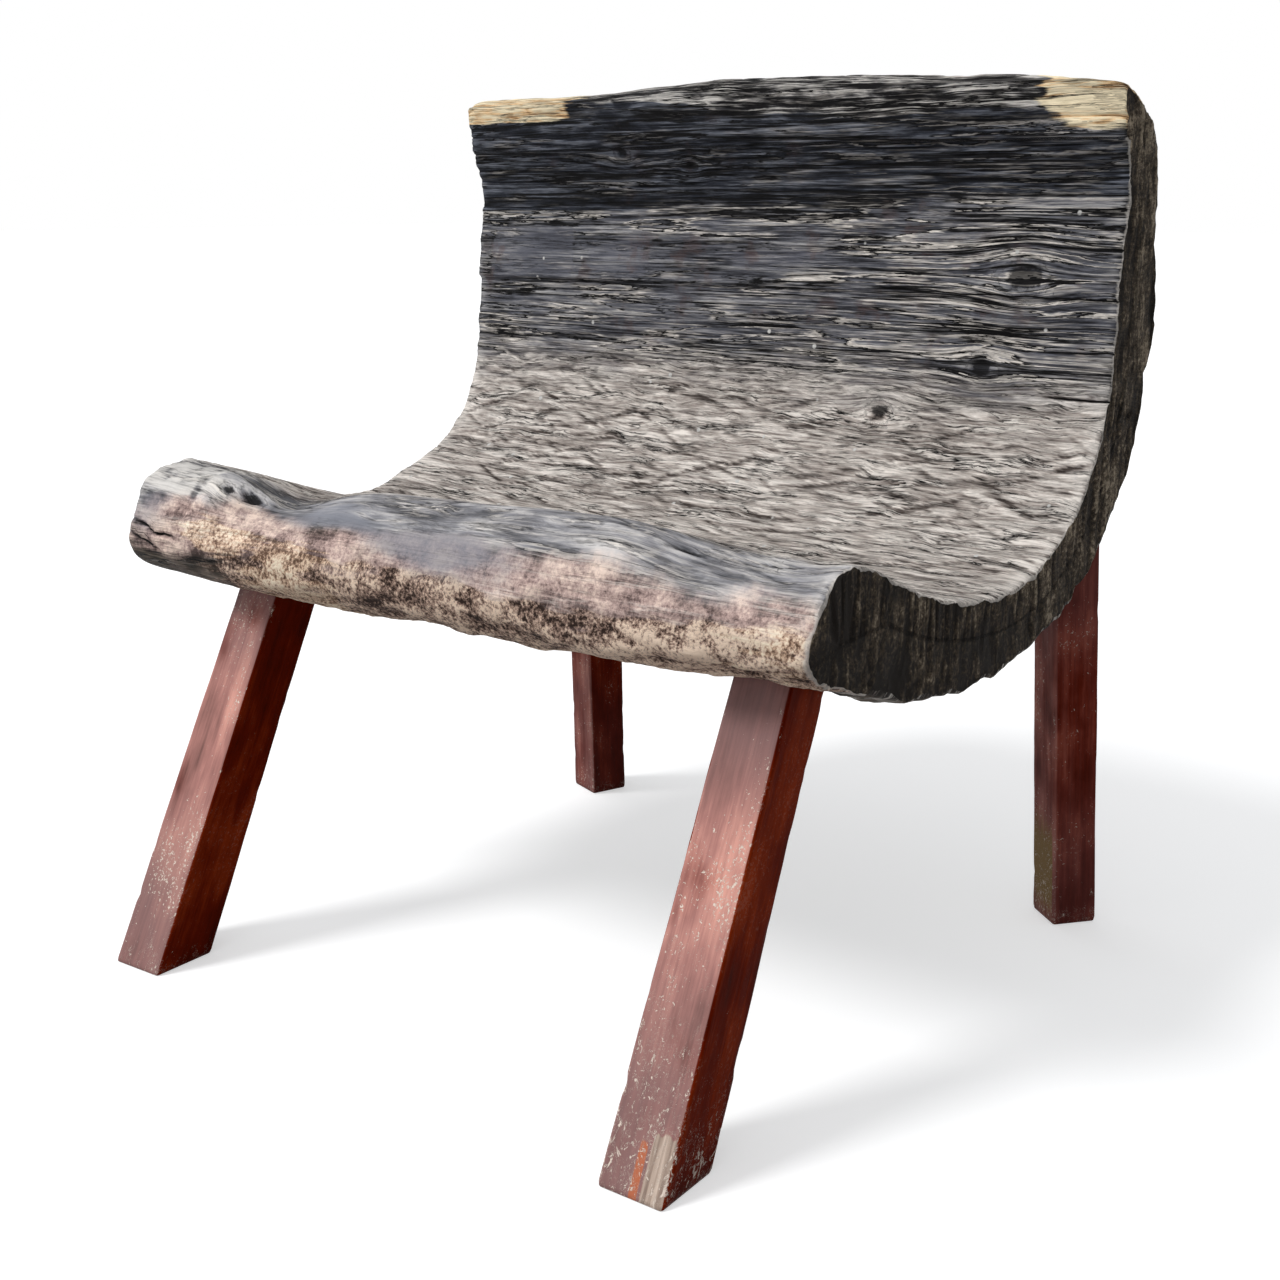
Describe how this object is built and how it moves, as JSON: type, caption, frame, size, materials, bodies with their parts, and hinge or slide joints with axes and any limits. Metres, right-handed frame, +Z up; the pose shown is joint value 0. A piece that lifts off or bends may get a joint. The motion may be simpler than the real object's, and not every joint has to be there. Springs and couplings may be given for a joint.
{
  "type": "birthing chair",
  "caption": "Low chair hewn from one curved length of log, back, seat and rolled front lip in one sweep, staked on raked square legs.",
  "frame": {"origin": "on the floor, under the middle of the whole chair", "axes": "+X along the grain of the log, to the right as seen from the front; -Y to the front, where the sitter's legs go; +Z up"},
  "size_m": [0.74, 0.6712, 0.775],
  "materials": {
    "weathered_log": "hewn log, charred and weathered grey on the back, worn grey-brown on the seat, rough bark-side crust under the lip",
    "stained_leg": "square hardwood with a dark red-brown satin stain, scratched and chipped to bare wood at the feet",
    "bare_wedge": "bare split wood"
  },
  "bodies": {
    "root": {"carved_seat_back": "weathered_log", "front_left_leg": "stained_leg", "front_left_wedge": "bare_wedge", "front_right_leg": "stained_leg", "front_right_wedge": "bare_wedge", "rear_left_leg": "stained_leg", "rear_left_wedge": "bare_wedge", "rear_right_leg": "stained_leg", "rear_right_wedge": "bare_wedge"}
  },
  "joints": []
}
